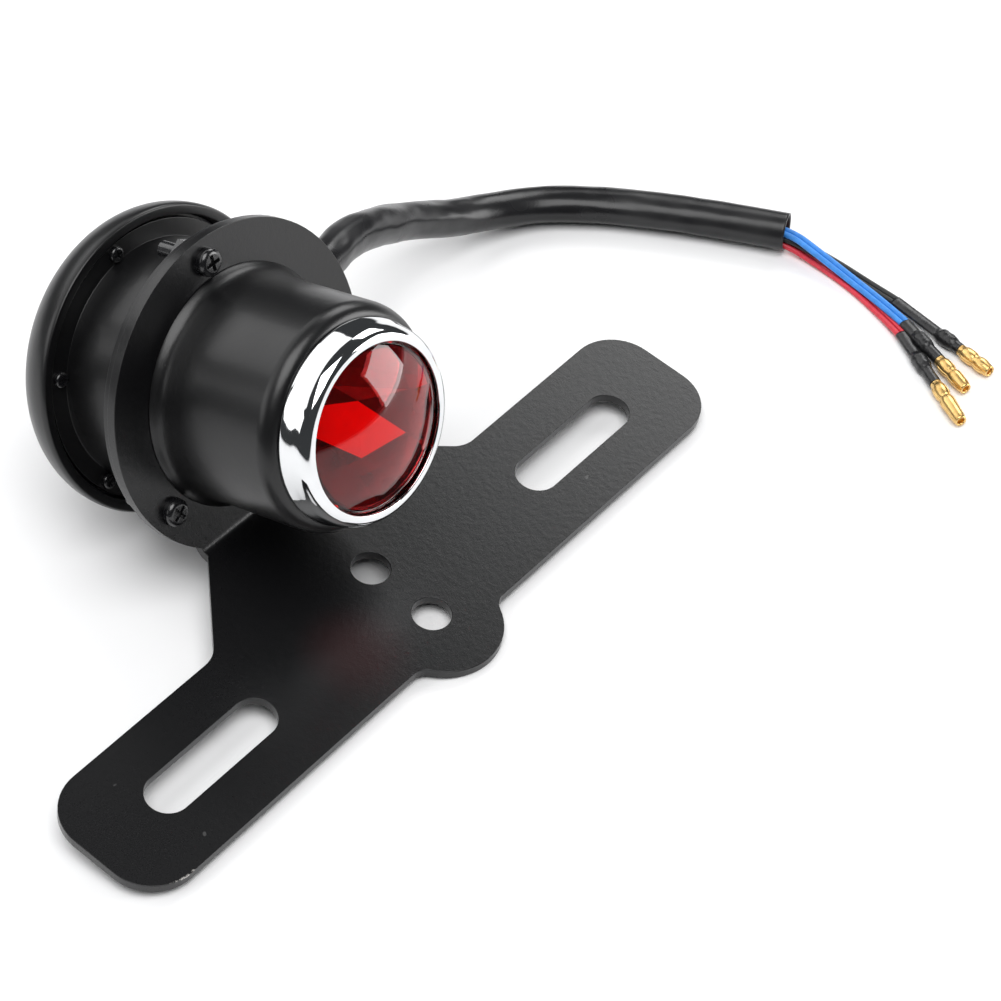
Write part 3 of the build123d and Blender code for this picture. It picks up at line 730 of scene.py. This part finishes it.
# ------------------------------------------------------------------ gasket and rear pad
# Matt black rubber rings: one seals the lens, the other beds the dish on the mudguard.
rubber, shader, place = finish("matt_rubber", (0.014, 0.014, 0.014), 0.7)
bloom = speckle(place, 380.0, 4.0, 0.6)
wear(shader, Roughness=0.55 + bloom * 0.3, Normal=dent(bloom, 0.00015, 0.5),
     Base_Color=bloom.band(0.35, 0.8).blend((0.010, 0.010, 0.010), (0.030, 0.030, 0.029)))
for name, outline, body, node in (
    ("gasket_ring", [(18.6, 39.1), (21.6, 39.1), (21.6, 40.1), (18.6, 40.1)], "bezel",
     "lens_gasket"),
    ("pad_ring", [(19.6, -41.0), (24.0, -41.0), (24.0, -39.4), (19.6, -39.4)], "root",
     "rear_pad"),
):
    ring = evened(settled(name, turn_outline(millimetres(outline), lamp_place,
                                             steps=128, soften=0.0003)))
    show(ring, rubber, body)
    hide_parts(node)

# ------------------------------------------------------------------ neck spacer
# Black enamelled spool between the ring and the dish, waisted, with a flange at each end.
spacer = evened(settled("spacer_spool", cad_copy("neck_spacer", 0.00018, flat=0.2,
                                                  keep=50.0, segments=2)))
show(spacer, enamel)
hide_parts("neck_spacer")

# ------------------------------------------------------------------ mounting dish
# Deep black dish with a wide rolled rim; six small screws hold the spool in its floor.
rim_radius, rim_station = 24.0, -26.6  # middle of the rim's round section
rim_outer, rim_inner = 12.8, 10.6


def rim_arc(radius, first, turn, steps):
    """Points round the rim's section from a first angle, backwards, in degrees."""
    angles = [radians(first - turn * n / steps) for n in range(steps + 1)]
    return [(rim_radius + radius * cos(angle), rim_station + radius * sin(angle))
            for angle in angles]


dish_outline = millimetres(
    [(36.4, -25.25), (35.9, -25.2), (34.5, -25.2), (34.1, -25.5), (34.0, -29.0),
     (21.0, -29.0), (21.0, -31.2), (33.3, -31.2)]
    + rim_arc(rim_inner, -13, 77, 20)[3:]
    + [(19.6, -37.2), (19.6, -39.4)] + rim_arc(rim_outer, 3, 93, 24)[::-1])
dish = evened(settled("dish_shell", turn_outline(
    dish_outline, lamp_place, steps=176, soften=0.0002, keep=radians(45))))
show(dish, enamel)
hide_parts("mounting_dish")

# ------------------------------------------------------------------ screws and nuts
# Black cross-recess pan heads on the ring and inside the housing, and zinc-plated studs
# on their plate.  The flange nuts and dish screws are zinc-plated but coloured black here
# as painted shade, behind the ring and in the dish's groove.
black_and_shade_paint, shader, place = finish("black_oxide", (0.006, 0.006, 0.007), 0.22,
                                    Metallic=0.0, Coat_Weight=0.4, Coat_Roughness=0.1)
nicks = speckle(place, 1500.0, 3.0, 0.6)
wear(shader, Roughness=0.16 + nicks * 0.2, Normal=dent(nicks, 0.00006, 0.6),
     Base_Color=nicks.band(0.66, 0.8).blend((0.006, 0.006, 0.007), (0.05, 0.05, 0.05)))
zinc, shader, place = finish("zinc_plate", (0.55, 0.56, 0.57), 0.3, Metallic=1.0)
spangle = speckle(place, 900.0, 3.0, 0.6)
wear(shader, Roughness=0.22 + spangle * 0.25, Normal=dent(spangle, 0.00004, 0.5),
     Base_Color=spangle.band(0.3, 0.8).blend((0.60, 0.61, 0.62), (0.36, 0.36, 0.35)))
for node, paint, slot, soften in (
    ("flange_screws", black_and_shade_paint, "black_screw", 0.00012),
    ("housing_screws", black_and_shade_paint, "black_screw", 0.0),
    # Painted shade: these zinc-plated nuts and dish screws take the black paint where they sit in
    # shade.
    ("flange_nuts", black_and_shade_paint, "zinc_steel", 0.0001),
    ("dish_screws", black_and_shade_paint, "zinc_steel", 0.00008),
    ("stud_plate", zinc, "zinc_steel", 0.00015),
    ("mounting_studs", zinc, "zinc_steel", 0.00015),
):
    part = evened(settled(node + "_finished", cad_copy(node, soften, flat=0.5, keep=40.0,
                                                        segments=2)))
    show(part, paint)
    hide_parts(node)

# ------------------------------------------------------------------ bulb and its parts
# Behind the facets: silvered bowl, clear glass bulb with two filaments, brass cap, socket
# with its spring and laminate contact disc.  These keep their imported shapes.
silvered, shader, place = finish("silvered_bowl", (0.9, 0.9, 0.9), 0.08, Metallic=1.0)
wear(shader, Roughness=0.05 + speckle(place, 240.0, 3.0) * 0.1,
     Normal=dent(speckle(place, 180.0), 0.0002, 0.3))
clear, shader, place = finish("clear_glass", (1, 1, 1), 0.0, Transmission_Weight=1.0, IOR=1.5)
wear(shader, Roughness=speckle(place, 200.0).band(0.4, 1.0) * 0.03)
laminate, shader, place = finish("brown_laminate", (0.16, 0.07, 0.03), 0.55)
weave = speckle(place, 1100.0, 4.0, 0.6)
wear(shader, Roughness=0.45 + weave * 0.2, Normal=dent(weave, 0.0001, 0.4),
     Base_Color=weave.band(0.3, 0.8).blend((0.19, 0.085, 0.035), (0.10, 0.04, 0.016)))
for node, paint, slot in (
    ("reflector", silvered, "silvered_bowl"), ("bulb_socket", zinc, "zinc_steel"),
    ("bulb_cap", brass, "brass_terminal"), ("bulb_glass", clear, "clear_bulb"),
    ("filament_mount", clear, "clear_bulb"), ("filaments", zinc, "zinc_steel"),
    ("contact_carrier", laminate, "brown_laminate"), ("contact_pads", brass, "brass_terminal"),
):
    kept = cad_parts[node]
    kept.data.materials.clear()
    kept.data.materials.append(paint)

spring = settled("contact_spring_coil", cad_copy("contact_spring", flat=0.05))
show(spring, zinc)
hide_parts("contact_spring")
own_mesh(spring)

# ------------------------------------------------------------------ grommet
# Soft black rubber bush in the spool's wall, a lip on the outside; the sleeve leaves
# through it.
exit_station = -0.0145  # along the lamp's axis, behind the ring's face
grommet_place = lamp_place @ Matrix.Translation((0, 0, exit_station)) @ Matrix(
    ((0, 0, 1, 0), (1, 0, 0, 0), (0, 1, 0, 0), (0, 0, 0, 1)))
grommet_outline = millimetres([
    (5.0, 23.8), (6.3, 23.8), (6.5, 24.6), (6.5, 29.6), (6.45, 32.0), (6.1, 32.4), (5.6, 32.5),
    (5.15, 32.3), (5.0, 31.9)])
grommet = evened(settled("grommet_bush", turn_outline(
    grommet_outline, grommet_place, steps=72)))
show(grommet, rubber)
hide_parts("wire_grommet")
